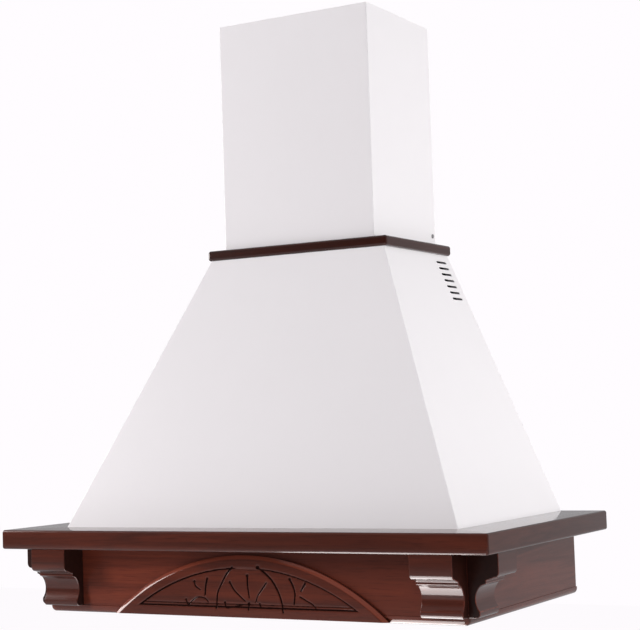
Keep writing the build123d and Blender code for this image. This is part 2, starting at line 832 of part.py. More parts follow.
# Lamps: a flanged can through the tray, and a lens in its mouth
for side, hand in sides.items():
    lamp_tube = lamp_radius - seat_gap
    lens_radius = lamp_tube - lamp_wall
    with BuildPart() as lamp_housing:
        with BuildSketch(Plane.XY.offset(tray_level - lamp_flange_thickness)):
            with Locations((hand * lamp_spacing / 2, -control_wall_distance)):
                Circle(lamp_radius + lamp_flange)
        extrude(amount=lamp_flange_thickness)
        chamfer(lamp_housing.edges().group_by(Axis.Z)[0], lamp_flange_thickness / 2)
        with BuildSketch(Plane.XY.offset(tray_level)):
            with Locations((hand * lamp_spacing / 2, -control_wall_distance)):
                Circle(lamp_tube)
        extrude(amount=lamp_height)
        with BuildSketch(Plane.XY.offset(tray_level - lamp_flange_thickness)):
            with Locations((hand * lamp_spacing / 2, -control_wall_distance)):
                Circle(lens_radius)
        extrude(amount=lamp_flange_thickness + lamp_height - lamp_wall, mode=Mode.SUBTRACT)
    keep(lamp_housing, f"lamp_housing_{side}")

    with BuildPart() as lamp_lens:
        with BuildSketch(Plane.XY.offset(tray_level - lamp_flange_thickness + lens_recess)):
            with Locations((hand * lamp_spacing / 2, -control_wall_distance)):
                Circle(lens_radius)
        extrude(amount=lens_thickness)
    keep(lamp_lens, f"lamp_lens_{side}")

# Flue cover and its feet on the canopy
with BuildPart() as flue_cover:
    add(sheet_channel(flue_width, flue_depth, 0, flue_return, canopy_height, flue_top - canopy_height).part)
    with BuildSketch(Plane.YZ.offset(-flue_width / 2)):
        with Locations((-flue_screw_wall_distance, canopy_height + flue_screw_rise)):
            Circle(screw_radius)
    extrude(amount=flue_width, mode=Mode.SUBTRACT)
keep(flue_cover, "flue_cover")

with BuildPart() as flue_feet:
    for hand in sides.values():
        with BuildSketch(Plane.XZ.offset(foot_wall_distance)):
            with BuildLine():
                wall_x = hand * (flue_width / 2 - sheet)
                Polyline(
                    (wall_x, canopy_height),
                    (wall_x, canopy_height + foot_height),
                    (wall_x - hand * foot_thickness, canopy_height + foot_height),
                    (wall_x - hand * foot_thickness, canopy_height + foot_thickness),
                    (wall_x - hand * foot_reach, canopy_height + foot_thickness),
                    (wall_x - hand * foot_reach, canopy_height),
                    close=True,
                )
            make_face()
        extrude(amount=foot_width)
    with BuildSketch(Plane.YZ.offset(-flue_width / 2)):
        with Locations((-flue_screw_wall_distance, canopy_height + flue_screw_rise)):
            Circle(screw_radius)
    extrude(amount=flue_width, mode=Mode.SUBTRACT)
keep(flue_feet, "flue_feet")

# Flue extension, drawn down inside the cover, with the bracket that its top hangs from
extension_width = flue_width - 2 * (sheet + slide_gap)
extension_depth = flue_depth - sheet - slide_gap
extension_rear = sheet + slide_gap / 2
extension_bottom = canopy_height + extension_lift
extension_top = flue_top - extension_drop
flue_extension = sheet_channel(
    extension_width, extension_depth, extension_rear, extension_return,
    extension_bottom, extension_top - extension_bottom,
)
keep(flue_extension, "flue_extension")

bracket_level = extension_top - bracket_drop - bracket_height
with BuildPart() as flue_bracket:
    with BuildSketch(Plane.XZ):
        with Locations((0, bracket_level)):
            Rectangle(
                flue_width - 2 * (flue_return + seat_gap), bracket_height, align=(Align.CENTER, Align.MIN)
            )
        with Locations((0, bracket_level + bracket_height / 2)):
            with GridLocations(bracket_hole_spacing, 0, 2, 1):
                Circle(bracket_hole_radius, mode=Mode.SUBTRACT)
    extrude(amount=bracket_thickness)
    with BuildSketch(Plane.XY.offset(bracket_level + bracket_height)):
        Rectangle(
            extension_width - 2 * (extension_return + seat_gap),
            bracket_thickness + bracket_lip,
            align=(Align.CENTER, Align.MAX),
        )
    extrude(amount=-bracket_thickness)
keep(flue_bracket, "flue_bracket")

# Outlet collar: a flanged spigot with a ledge that the flaps close on
with BuildPart() as outlet_collar:
    with BuildSketch(Plane.XY.offset(canopy_height)):
        with Locations((0, -collar_wall_distance)):
            Circle(duct_radius + collar_flange)
    extrude(amount=collar_wall)
    with BuildSketch(Plane.XY.offset(canopy_height - sheet)):
        with Locations((0, -collar_wall_distance)):
            Circle(duct_radius)
    extrude(amount=collar_height + sheet)
    with BuildSketch(Plane.XY.offset(canopy_height - sheet)):
        with Locations((0, -collar_wall_distance)):
            Circle(duct_bore)
    extrude(amount=collar_height + sheet, mode=Mode.SUBTRACT)
    with BuildSketch(Plane.XY.offset(flap_pivot_level - flap_thickness / 2 - seat_gap)):
        with Locations((0, -collar_wall_distance)):
            Circle(duct_bore)
            Circle(duct_bore - flap_ledge, mode=Mode.SUBTRACT)
    extrude(amount=-flap_ledge_height)
    with BuildSketch(Plane.XZ.offset(collar_wall_distance - duct_radius)):
        with Locations((0, flap_pivot_level)):
            Circle(flap_pin_radius)
    extrude(amount=2 * duct_radius, mode=Mode.SUBTRACT)
keep(outlet_collar, "outlet_collar")

with BuildPart() as flap_pin:
    with BuildSketch(Plane.XZ.offset(collar_wall_distance - duct_radius)):
        with Locations((0, flap_pivot_level)):
            Circle(flap_pin_radius)
    extrude(amount=2 * duct_radius)
keep(flap_pin, "flap_pin")

# Two half-round flaps whose barrels share the pin in turn
barrel_span = 2 * (duct_bore - flap_ledge - flap_edge_gap)
barrel_pitch = barrel_span / flap_barrel_count
for side, hand in sides.items():
    first = 0 if hand < 0 else 1
    with BuildPart() as flap:
        with BuildSketch(Plane.XY.offset(flap_pivot_level - flap_thickness / 2)):
            with Locations((0, -collar_wall_distance)):
                Circle(duct_bore - flap_edge_gap)
            with Locations((hand * (flap_barrel_radius + flap_edge_gap), -collar_wall_distance)):
                far_side = Align.MIN if hand > 0 else Align.MAX
                Rectangle(2 * duct_bore, 2 * duct_bore, align=(far_side, Align.CENTER), mode=Mode.INTERSECT)
            for index in range(first, flap_barrel_count, 2):
                barrel_y = -collar_wall_distance + barrel_pitch * (index - (flap_barrel_count - 1) / 2)
                with Locations((0, barrel_y)):
                    Rectangle(
                        2 * (flap_barrel_radius + flap_edge_gap),
                        barrel_pitch - 2 * seat_gap,
                        align=(Align.MIN if hand > 0 else Align.MAX, Align.CENTER),
                    )
        extrude(amount=flap_thickness)
        for index in range(first, flap_barrel_count, 2):
            barrel_y = -collar_wall_distance + barrel_pitch * (index - (flap_barrel_count - 1) / 2)
            barrel_length = barrel_pitch - 2 * seat_gap
            with BuildSketch(Plane.XZ.offset(-barrel_y - barrel_length / 2)):
                with Locations((0, flap_pivot_level)):
                    Circle(flap_barrel_radius)
            extrude(amount=barrel_length)
        with BuildSketch(Plane.XZ.offset(collar_wall_distance - duct_radius)):
            with Locations((0, flap_pivot_level)):
                Circle(flap_pin_radius + running_gap)
        extrude(amount=2 * duct_radius, mode=Mode.SUBTRACT)
    keep(flap, f"flap_{side}")


def scroll_outline(wall):
    """The scroll seen from the front, grown outwards by a wall, with its outlet straight up."""
    right_x = blower_x + scroll_radius
    bottom_radius = scroll_radius - scroll_step
    left_radius = bottom_radius - scroll_step
    left_x = blower_x - bottom_radius
    low_centre = (blower_x, blower_level)
    mid_centre = (blower_x, blower_level - scroll_step)
    top_centre = (left_x + left_radius, blower_level - scroll_step)
    outlet_left = right_x - outlet_width - wall
    cutoff_run = outlet_left - top_centre[0]
    cutoff_level = top_centre[1] + sqrt((left_radius + wall) ** 2 - cutoff_run**2)
    cutoff_middle = (
        top_centre[0] - (left_radius + wall) * cos(radians(scroll_bisector)),
        top_centre[1] + (left_radius + wall) * sin(radians(scroll_bisector)),
    )
    with BuildSketch() as outline:
        with BuildLine():
            CenterArc(low_centre, scroll_radius + wall, 270, 90)
            Line((right_x + wall, blower_level), (right_x + wall, outlet_level))
            Line((right_x + wall, outlet_level), (outlet_left, outlet_level))
            Line((outlet_left, outlet_level), (outlet_left, cutoff_level))
            ThreePointArc((outlet_left, cutoff_level), cutoff_middle, (left_x - wall, mid_centre[1]))
            CenterArc(mid_centre, bottom_radius + wall, 180, 90)
        make_face()
    return outline.sketch


def fan_blade():
    """One blade of the impeller, in section, with a flat face and a round back."""
    run = (impeller_radius - impeller_eye_radius) / 2
    with BuildSketch() as blade:
        with BuildLine():
            Line((-run, -run / 2), (run, run / 2))
            RadiusArc((run, run / 2), (-run, -run / 2), 2 * run)
        make_face()
    return blade.sketch


# Scroll housing in two halves, each a rim with a cheek welded on it and a round inlet in the cheek
for half, start, cheek, rim_end in (
    ("front", collar_wall_distance, scroll_front, scroll_front),
    ("rear", scroll_rear - scroll_wall, scroll_rear - scroll_wall, scroll_rear),
):
    with BuildPart() as scroll:
        with BuildSketch(Plane.XZ.offset(start)):
            add(scroll_outline(scroll_wall))
        extrude(amount=outlet_depth / 2 + scroll_wall)
        with BuildSketch(Plane.XZ.offset(start if half == "front" else scroll_rear)):
            add(scroll_outline(0))
        extrude(amount=outlet_depth / 2, mode=Mode.SUBTRACT)
        with BuildSketch(Plane.XY.offset(outlet_level)):
            with Locations((0, -collar_wall_distance)):
                Rectangle(
                    outlet_width + 2 * (scroll_wall + scroll_lip), outlet_depth + 2 * (scroll_wall + scroll_lip)
                )
                Rectangle(outlet_width + 2 * scroll_wall, outlet_depth + 2 * scroll_wall, mode=Mode.SUBTRACT)
                Rectangle(
                    2 * outlet_width,
                    2 * outlet_depth,
                    align=(Align.CENTER, Align.MAX if half == "front" else Align.MIN),
                    mode=Mode.INTERSECT,
                )
        extrude(amount=-2 * scroll_wall)
        with BuildSketch(Plane.XZ.offset(cheek)):
            with Locations((blower_x, blower_level)):
                Circle(inlet_radius)
        extrude(amount=scroll_wall, mode=Mode.SUBTRACT)
        split(bisect_by=Plane.XZ.offset(rim_end), keep=Keep.BOTH)
    keep(scroll, f"scroll_{half}")

# Impeller: a disc and hub, a crown of blades round the disc, and a ring on each end of the blades
impeller_half = outlet_depth / 2 - impeller_gap
blade_half = impeller_half - impeller_ring
with BuildPart() as impeller_blades:
    with BuildSketch(Plane.XZ.offset(collar_wall_distance - blade_half)):
        with Locations((blower_x, blower_level)):
            with PolarLocations((impeller_radius + impeller_eye_radius) / 2, blade_count):
                add(fan_blade())
    extrude(amount=2 * blade_half)
with BuildPart() as impeller_disc:
    with BuildSketch(Plane.XZ.offset(collar_wall_distance - disc_thickness / 2)):
        with Locations((blower_x, blower_level)):
            Circle(impeller_eye_radius)
    extrude(amount=disc_thickness)
    with BuildSketch(Plane.XZ.offset(collar_wall_distance - hub_length / 2)):
        with Locations((blower_x, blower_level)):
            Circle(hub_radius)
    extrude(amount=hub_length)
    with BuildSketch(Plane.XZ.offset(collar_wall_distance - hub_length / 2)):
        with Locations((blower_x, blower_level)):
            Circle(shaft_radius)
    extrude(amount=hub_length, mode=Mode.SUBTRACT)
with BuildPart() as impeller_rings:
    for ring_start in (collar_wall_distance - impeller_half, collar_wall_distance + blade_half):
        with BuildSketch(Plane.XZ.offset(ring_start)):
            with Locations((blower_x, blower_level)):
                Circle(impeller_radius + blade_thickness)
                Circle(impeller_eye_radius, mode=Mode.SUBTRACT)
        extrude(amount=impeller_ring)
keep_together([impeller_blades, impeller_disc, impeller_rings], "impeller")

# Motor in the front inlet, its shaft, and the spider that carries it on the scroll
motor_front = scroll_front + scroll_wall + motor_proud
motor_rear = motor_front - motor_length
with BuildPart() as blower_motor:
    with BuildSketch(Plane.XZ.offset(motor_rear)):
        with Locations((blower_x, blower_level)):
            Circle(motor_radius)
    extrude(amount=motor_length)
    fillet(blower_motor.edges().filter_by(GeomType.CIRCLE), motor_round)
    with BuildSketch(Plane.XZ.offset(motor_rear)):
        with Locations((blower_x, blower_level)):
            Circle(shaft_radius + running_gap)
    extrude(amount=motor_length - motor_round, mode=Mode.SUBTRACT)
keep(blower_motor, "blower_motor")

with BuildPart() as motor_shaft:
    with BuildSketch(Plane.XZ.offset(collar_wall_distance - hub_length / 2)):
        with Locations((blower_x, blower_level)):
            Circle(shaft_radius)
    extrude(amount=motor_front - motor_round - seat_gap - collar_wall_distance + hub_length / 2)
keep(motor_shaft, "motor_shaft")

with BuildPart() as motor_bracket:
    with BuildSketch(Plane.XZ.offset(scroll_front + scroll_wall)):
        with Locations((blower_x, blower_level)):
            Circle(motor_radius + motor_bracket_ring)
            with PolarLocations(0, motor_arm_count, start_angle=motor_arm_start):
                Rectangle(motor_arm_reach, motor_arm_width, align=(Align.MIN, Align.CENTER))
            Circle(motor_radius, mode=Mode.SUBTRACT)
    extrude(amount=motor_bracket_thickness)
keep(motor_bracket, "motor_bracket")

# Adapter from the scroll's square outlet to the round hole in the canopy's top
adapter_top = canopy_height - sheet


def adapter_form(grow):
    """The adapter's inside, square below and round above, grown outwards by a wall."""
    with BuildPart() as form:
        with BuildSketch(Plane.XY.offset(outlet_level)):
            with Locations((0, -collar_wall_distance)):
                RectangleRounded(outlet_width + 2 * grow, outlet_depth + 2 * grow, scroll_lip)
        with BuildSketch(Plane.XY.offset(adapter_top)):
            with Locations((0, -collar_wall_distance)):
                Circle(duct_bore + grow)
        loft()
    return form


with BuildPart() as outlet_adapter:
    add(adapter_form(adapter_wall).part)
    with BuildSketch(Plane.XY.offset(outlet_level)):
        with Locations((0, -collar_wall_distance)):
            Rectangle(outlet_width + 2 * adapter_flange, outlet_depth + 2 * adapter_flange)
    extrude(amount=adapter_wall)
    add(adapter_form(0).part, mode=Mode.SUBTRACT)
keep(outlet_adapter, "outlet_adapter")

# Terminal box under the canopy's top, the cable inlet through it, and the motor's capacitor
terminal_top = canopy_height - sheet
with BuildPart() as terminal_box:
    with BuildSketch(Plane.XY.offset(terminal_top)):
        with Locations((terminal_x, -terminal_wall_distance)):
            RectangleRounded(terminal_width, terminal_depth, terminal_round)
    extrude(amount=-terminal_height)
    with BuildSketch(Plane.XY.offset(terminal_top)):
        with Locations((terminal_x, -terminal_wall_distance)):
            RectangleRounded(
                terminal_width - 2 * terminal_wall,
                terminal_depth - 2 * terminal_wall,
                terminal_round - terminal_wall,
            )
    extrude(amount=terminal_wall - terminal_height, mode=Mode.SUBTRACT)
keep(terminal_box, "terminal_box")

with BuildPart() as cable_gland:
    with BuildSketch(Plane.XY.offset(terminal_top - gland_nut_height)):
        with Locations((terminal_x, -terminal_wall_distance)):
            Circle(gland_radius)
    extrude(amount=sheet + 3 * gland_nut_height)
    fillet(cable_gland.edges().group_by(Axis.Z)[-1], terminal_wall)
    with BuildSketch(Plane.XY.offset(canopy_height)):
        with Locations((terminal_x, -terminal_wall_distance)):
            RegularPolygon(gland_nut_radius, 6)
    extrude(amount=gland_nut_height)
    with BuildSketch(Plane.XY.offset(terminal_top - gland_nut_height)):
        with Locations((terminal_x, -terminal_wall_distance)):
            Circle(gland_bore_radius)
    extrude(amount=sheet + 3 * gland_nut_height, mode=Mode.SUBTRACT)
keep(cable_gland, "cable_gland")

with BuildPart() as capacitor:
    with BuildSketch(Plane.XY.offset(terminal_top)):
        with Locations((-terminal_x, -terminal_wall_distance)):
            Circle(capacitor_radius)
    extrude(amount=-capacitor_length)
    fillet(capacitor.edges().group_by(Axis.Z)[0], terminal_wall)
keep(capacitor, "capacitor")


def pan_screw():
    """A pan-head screw with its shank drawn into the plane it stands on."""
    with BuildPart() as screw:
        with BuildSketch(Plane.XY.offset(-screw_grip)):
            Circle(screw_radius)
        extrude(amount=screw_grip)
        with BuildSketch(Plane.XY):
            Circle(screw_head_radius)
        extrude(amount=screw_head_height)
        fillet(screw.edges().group_by(Axis.Z)[-1], screw_head_height / 2)
    return screw.part


# Screws: canopy to shelf, tray to skirt, flue cover to its feet
with BuildPart() as canopy_screws:
    with Locations(*[Plane(origin=(x, y, sheet)) for x, y in canopy_screw_places]):
        add(pan_screw())
keep(canopy_screws, "canopy_screws")

with BuildPart() as tray_screws:
    for hand in sides.values():
        head_x = hand * (tray_width / 2 - sheet)
        with Locations(*[Plane(origin=(head_x, y, z), z_dir=(-hand, 0, 0)) for y, z in tray_screw_places]):
            add(pan_screw())
keep(tray_screws, "tray_screws")

with BuildPart() as flue_screws:
    for hand in sides.values():
        origin = (hand * flue_width / 2, -flue_screw_wall_distance, canopy_height + flue_screw_rise)
        with Locations(Plane(origin=origin, z_dir=(hand, 0, 0))):
            add(pan_screw())
keep(flue_screws, "flue_screws")
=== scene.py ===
import bpy
import bmesh
import json
import math
import numpy as np
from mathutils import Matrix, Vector

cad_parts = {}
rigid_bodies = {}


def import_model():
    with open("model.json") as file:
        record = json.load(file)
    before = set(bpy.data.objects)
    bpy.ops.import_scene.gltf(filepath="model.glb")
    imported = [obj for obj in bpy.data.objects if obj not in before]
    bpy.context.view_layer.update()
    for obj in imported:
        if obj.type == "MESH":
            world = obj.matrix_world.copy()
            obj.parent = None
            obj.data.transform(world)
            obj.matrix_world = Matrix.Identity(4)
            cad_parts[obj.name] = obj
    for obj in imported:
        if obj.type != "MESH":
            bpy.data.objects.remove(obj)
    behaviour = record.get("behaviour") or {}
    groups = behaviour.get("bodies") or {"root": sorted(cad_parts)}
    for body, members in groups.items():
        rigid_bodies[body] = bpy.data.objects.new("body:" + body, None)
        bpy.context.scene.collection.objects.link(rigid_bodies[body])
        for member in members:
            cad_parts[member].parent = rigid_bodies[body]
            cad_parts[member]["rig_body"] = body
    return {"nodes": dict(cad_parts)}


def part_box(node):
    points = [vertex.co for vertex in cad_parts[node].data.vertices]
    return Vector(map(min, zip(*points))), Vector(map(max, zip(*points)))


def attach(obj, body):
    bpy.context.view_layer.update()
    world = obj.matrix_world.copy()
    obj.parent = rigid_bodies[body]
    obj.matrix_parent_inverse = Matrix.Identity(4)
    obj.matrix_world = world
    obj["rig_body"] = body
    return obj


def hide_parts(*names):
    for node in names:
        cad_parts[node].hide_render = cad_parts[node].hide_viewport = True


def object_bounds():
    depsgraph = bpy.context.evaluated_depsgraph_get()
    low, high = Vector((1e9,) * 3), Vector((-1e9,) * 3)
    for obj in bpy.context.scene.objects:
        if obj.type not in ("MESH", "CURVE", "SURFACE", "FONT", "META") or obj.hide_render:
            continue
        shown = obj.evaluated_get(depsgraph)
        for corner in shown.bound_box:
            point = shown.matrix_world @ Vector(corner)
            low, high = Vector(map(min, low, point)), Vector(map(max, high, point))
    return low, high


# The hood in its own frame, in metres: X to the viewer's right, Y into the wall, Z up.
MM = 0.001

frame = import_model()
cad_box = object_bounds()
nodes = frame["nodes"]
scene = bpy.context.scene
scene.view_settings.view_transform = "Standard"


# Camera, as the photograph was taken: from the right of the hood, level with its shelf
CAMERA_PLACE = (1.38900, -2.62574, 0.17081)
CAMERA_TURN = (93.7054, 1.9003, 29.6076)
CAMERA_LENS = 90.419
CAMERA_SENSOR = 36.0

camera_data = bpy.data.cameras.new("camera")
camera_data.sensor_fit = "HORIZONTAL"
camera_data.sensor_width = CAMERA_SENSOR
camera_data.lens = CAMERA_LENS
camera = bpy.data.objects.new("camera", camera_data)
camera.location = CAMERA_PLACE
camera.rotation_euler = [math.radians(angle) for angle in CAMERA_TURN]
scene.collection.objects.link(camera)
scene.camera = camera


# A noise mostly lies between these two values
NOISE_LOW = 0.3
NOISE_HIGH = 0.7


class Nodes:
    """A node tree, with short calls for the nodes that are used here."""

    def __init__(self, tree):
        self.tree = tree
        self.place = None

    def add(self, kind, **values):
        node = self.tree.nodes.new(kind)
        for key, value in values.items():
            setattr(node, key, value)
        return node

    def link(self, source, target):
        self.tree.links.new(source, target)

    def feed(self, value, socket):
        """Links a socket to this one, or sets this one to a number or a colour."""
        if isinstance(value, bpy.types.NodeSocket):
            self.link(value, socket)
        elif socket.type == "RGBA":
            socket.default_value = (*value, 1.0)
        else:
            socket.default_value = value

    def mapped(self, scale, offset=(0, 0, 0)):
        """Object coordinates, stretched."""
        if self.place is None:
            self.place = self.add("ShaderNodeTexCoord")
        mapping = self.add("ShaderNodeMapping")
        mapping.inputs["Scale"].default_value = scale
        mapping.inputs["Location"].default_value = offset
        self.link(self.place.outputs["Object"], mapping.inputs["Vector"])
        return mapping.outputs["Vector"]

    def noise(self, vector, detail=2.0, roughness=0.5, distortion=0.0):
        texture = self.add("ShaderNodeTexNoise")
        texture.inputs["Scale"].default_value = 1.0
        texture.inputs["Detail"].default_value = detail
        texture.inputs["Roughness"].default_value = roughness
        texture.inputs["Distortion"].default_value = distortion
        self.link(vector, texture.inputs["Vector"])
        return texture.outputs["Fac"]

    def cloud(self, scale, detail=2.0, roughness=0.5, distortion=0.0):
        """A noise that is equally fine along all three axes."""
        return self.noise(self.mapped((scale, scale, scale)), detail, roughness, distortion)

    def ramp(self, value, stops):
        """A colour ramp; each stop is a place from 0 to 1 and a colour."""
        node = self.add("ShaderNodeValToRGB")
        elements = node.color_ramp.elements
        while len(elements) < len(stops):
            elements.new(0.5)
        for element, (place, colour) in zip(elements, stops):
            element.position = place
            element.color = (*colour, 1.0)
        self.link(value, node.inputs["Fac"])
        return node.outputs["Color"]

    def level(self, value, low, high, out_low=0.0, out_high=1.0, interpolation="LINEAR"):
        """Maps the range from low to high onto another."""
        node = self.add("ShaderNodeMapRange", interpolation_type=interpolation)
        numbers = {"From Min": low, "From Max": high, "To Min": out_low, "To Max": out_high}
        for name, number in numbers.items():
            node.inputs[name].default_value = number
        self.link(value, node.inputs["Value"])
        return node.outputs["Result"]

    def spread(self, noise, out_low=0.0, out_high=1.0):
        """Maps the usual range of a noise onto another."""
        return self.level(noise, NOISE_LOW, NOISE_HIGH, out_low, out_high)

    def mix(self, factor, first, second):
        """Mixes two colours. Each of the three may be a socket or a value."""
        node = self.add("ShaderNodeMix", data_type="RGBA")
        for name, value in (("Factor", factor), ("A", first), ("B", second)):
            self.feed(value, [s for s in node.inputs if s.name == name and s.enabled][0])
        return [s for s in node.outputs if s.enabled][0]

    def mix_shader(self, factor, first, second):
        node = self.add("ShaderNodeMixShader")
        for source, socket in zip((factor, first, second), node.inputs):
            self.link(source, socket)
        return node.outputs["Shader"]

    def maths(self, operation, *values):
        node = self.add("ShaderNodeMath", operation=operation)
        for value, socket in zip(values, node.inputs):
            self.feed(value, socket)
        return node.outputs["Value"]


class Material(Nodes):
    """A new material, with short calls for what its shader takes."""

    def __init__(self, name):
        self.material = bpy.data.materials.new(name)
        self.material.use_nodes = True
        super().__init__(self.material.node_tree)
        self.shader = self.tree.nodes["Principled BSDF"]

    def set(self, **values):
        for key, value in values.items():
            self.shader.inputs[key.replace("_", " ")].default_value = value

    def surface(self, colour, rough):
        self.link(colour, self.shader.inputs["Base Color"])
        self.link(rough, self.shader.inputs["Roughness"])

    def bump(self, height, distance, strength):
        node = self.add("ShaderNodeBump")
        node.inputs["Distance"].default_value = distance
        node.inputs["Strength"].default_value = strength
        self.link(height, node.inputs["Height"])
        self.link(node.outputs["Normal"], self.shader.inputs["Normal"])


# Colours, linear
WOOD_DARK = (0.055, 0.0135, 0.0085)
WOOD_MIDDLE = (0.108, 0.0225, 0.0125)
WOOD_LIGHT = (0.170, 0.0350, 0.0175)
# Near black: the carving's staining together with painted shade
CUT_STAIN_AND_SHADE = (0.010, 0.0035, 0.0028)
WHITE_ENAMEL = (0.86, 0.835, 0.85)
GREY_ENAMEL = (0.62, 0.62, 0.63)
DARK_ENAMEL = (0.03, 0.03, 0.033)
ZINC = (0.52, 0.53, 0.55)
STEEL = (0.62, 0.62, 0.63)
ALUMINIUM = (0.74, 0.75, 0.76)
BLACK = (0.012, 0.012, 0.013)
OFF_WHITE = (0.72, 0.71, 0.68)

# Patterns in the wood and on brushed metal, each with its scale along the grain and across it
TONE_SCALE = (1.6, 7.0)
BAND_SCALE = (2.6, 58.0)
PORE_SCALE = (22.0, 900.0)
RIPPLE_SCALE = (6.0, 40.0)
BRUSH_SCALE = (8.0, 900.0)
SPANGLE_SCALE = 90.0

# The wood's lacquer, and where the dark staining in the carving, partly painted shade, has made it dull
LACQUER_IOR = 1.5
WOOD_SPECULAR = 0.1
LACQUER_END = 0.2


def times(factor, colour):
    return tuple(factor * c for c in colour)


def stretched(scale, along):
    """The scale for each axis, from the scales along the grain and across it."""
    slow, fast = scale
    return tuple(slow if axis == along else fast for axis in "XYZ")


def wood(name, along, seed, shade, stained=False):
    """Reddish-brown stained hardwood under a gloss lacquer, with its grain along one axis."""
    n = Material(name)
    tone = n.noise(n.mapped(stretched(TONE_SCALE, along), (seed, seed, seed)), 3.0, 0.55)
    band = n.noise(n.mapped(stretched(BAND_SCALE, along), (seed, 0, seed)), 5.0, 0.62, 0.9)
    pore = n.noise(n.mapped(stretched(PORE_SCALE, along), (0, seed, seed)), 2.0, 0.6)
    ripple = n.noise(n.mapped(stretched(RIPPLE_SCALE, along)))
    # shade lightens or darkens the whole copy; the copies below use it in part for painted light and shade
    # on their boards
    dark, middle, pale = [times(shade, tint) for tint in (WOOD_DARK, WOOD_MIDDLE, WOOD_LIGHT)]
    grain = n.ramp(band, [(0.30, dark), (0.50, middle), (0.74, pale)])
    clouded = n.mix(n.level(tone, 0.34, 0.66), times(0.70, middle), grain)
    streak = n.level(pore, 0.56, 0.72, 0.0, 0.55)
    colour = n.mix(streak, clouded, times(0.5, dark))
    rough = n.spread(band, 0.46, 0.34)
    n.set(Coat_Weight=1.0, Coat_Roughness=0.09, Coat_IOR=LACQUER_IOR, Specular_IOR_Level=WOOD_SPECULAR)
    # The carved copy also takes painted light on its rim's slope, and dark staining with painted shade in
    # its cuts.
    if stained:
        # A lighter tint on the slope of the carved panel's rim: painted light from above.
        painted_rim_light = n.add("ShaderNodeAttribute", attribute_name="painted_rim_light").outputs["Fac"]
        colour = n.mix(painted_rim_light, colour, times(1.25, pale))
        # Dark staining in the cuts, near black also as painted shade
        stain_and_shade = n.add("ShaderNodeAttribute", attribute_name="stain_and_shade").outputs["Fac"]
        colour = n.mix(stain_and_shade, colour, times(0.15, dark))
        rough = n.maths("MAXIMUM", rough, stain_and_shade)
        n.link(n.level(stain_and_shade, 0.0, LACQUER_END, 1.0, 0.0), n.shader.inputs["Coat Weight"])
    n.surface(colour, rough)
    n.bump(n.maths("ADD", n.maths("MULTIPLY", pore, 0.25), ripple), 0.12 * MM, 0.55)
    return n.material


def end_grain_and_shade(name):
    """The ends of the mouldings: darker end grain, which soaks up more of the staining, made near black
    also as painted shade; short pores instead of grain.
    """
    n = Material(name)
    ring = n.cloud(70.0, detail=4.0, roughness=0.6, distortion=0.6)
    pore = n.cloud(900.0, roughness=0.6)
    n.surface(n.mix(ring, times(0.25, WOOD_DARK), times(0.6, WOOD_DARK)), n.spread(pore, 0.40, 0.60))
    n.set(Coat_Weight=0.7, Coat_Roughness=0.12, Coat_IOR=LACQUER_IOR, Specular_IOR_Level=WOOD_SPECULAR)
    n.bump(pore, 0.1 * MM, 0.5)
    return n.material


def groove(name):
    """The bottom of the cut lines: dark staining gathered there under no gloss, made near black also as
    painted shade.
    """
    n = Material(name)
    cloud = n.cloud(160.0, detail=3.0)
    n.surface(n.mix(cloud, CUT_STAIN_AND_SHADE, times(1.8, CUT_STAIN_AND_SHADE)), n.spread(cloud, 0.8, 1.0))
    n.set(Specular_IOR_Level=0.0)
    n.bump(cloud, 0.1 * MM, 0.4)
    return n.material


def enamel(name, colour, rough=0.34, peel=1.0):
    """Powder coat: an even colour with a faint orange peel and slight unevenness of gloss."""
    n = Material(name)
    soft = n.cloud(5.0, detail=3.0)
    tint = n.mix(n.level(soft, 0.35, 0.65), colour, times(0.985, colour))
    n.surface(tint, n.spread(soft, rough - 0.04, rough + 0.05))
    n.bump(n.cloud(620.0), 0.04 * MM * peel, 0.5)
    n.set(Specular_IOR_Level=0.45)
    return n.material


def metal(name, colour, rough, along, brushed=1.0, spangle=0.0):
    """Bare metal with fine brush lines along one axis, and a zinc spangle where asked for."""
    n = Material(name)
    lines = n.noise(n.mapped(stretched(BRUSH_SCALE, along)), 3.0, 0.6)
    cloud = n.cloud(9.0, detail=3.0)
    tint = n.mix(n.spread(cloud, 0.0, 0.4), colour, times(0.82, colour))
    if spangle:
        cell = n.add("ShaderNodeTexVoronoi")
        cell.inputs["Scale"].default_value = 1.0
        n.link(n.mapped((SPANGLE_SCALE, SPANGLE_SCALE, SPANGLE_SCALE)), cell.inputs["Vector"])
        flake = n.maths("MULTIPLY", cell.outputs["Color"], spangle)
        tint = n.mix(flake, tint, times(0.7, colour))
    n.surface(tint, n.spread(lines, rough - 0.06, rough + 0.08))
    n.set(Metallic=1.0)
    n.bump(lines, 0.03 * MM * brushed, 0.6)
    return n.material


def plastic(name, colour, rough, texture=1.0):
    """Moulded plastic with a fine spark-eroded texture."""
    n = Material(name)
    tint = n.mix(n.spread(n.cloud(14.0)), colour, times(1.18, colour))
    fine = n.cloud(1500.0)
    n.surface(tint, n.spread(fine, rough - 0.05, rough + 0.07))
    n.bump(fine, 0.03 * MM * texture, 0.7)
    return n.material


def frosted(name):
    """Frosted glass with a fine pressed pattern."""
    n = Material(name)
    n.set(Base_Color=(0.94, 0.96, 0.97, 1.0), Transmission_Weight=0.85, IOR=1.5)
    grain = n.cloud(700.0)
    n.link(n.spread(grain, 0.28, 0.42), n.shader.inputs["Roughness"])
    n.bump(grain, 0.1 * MM, 0.6)
    return n.material


def dress(material, *names):
    for name in names:
        data = nodes[name].data
        data.materials.clear()
        data.materials.append(material)


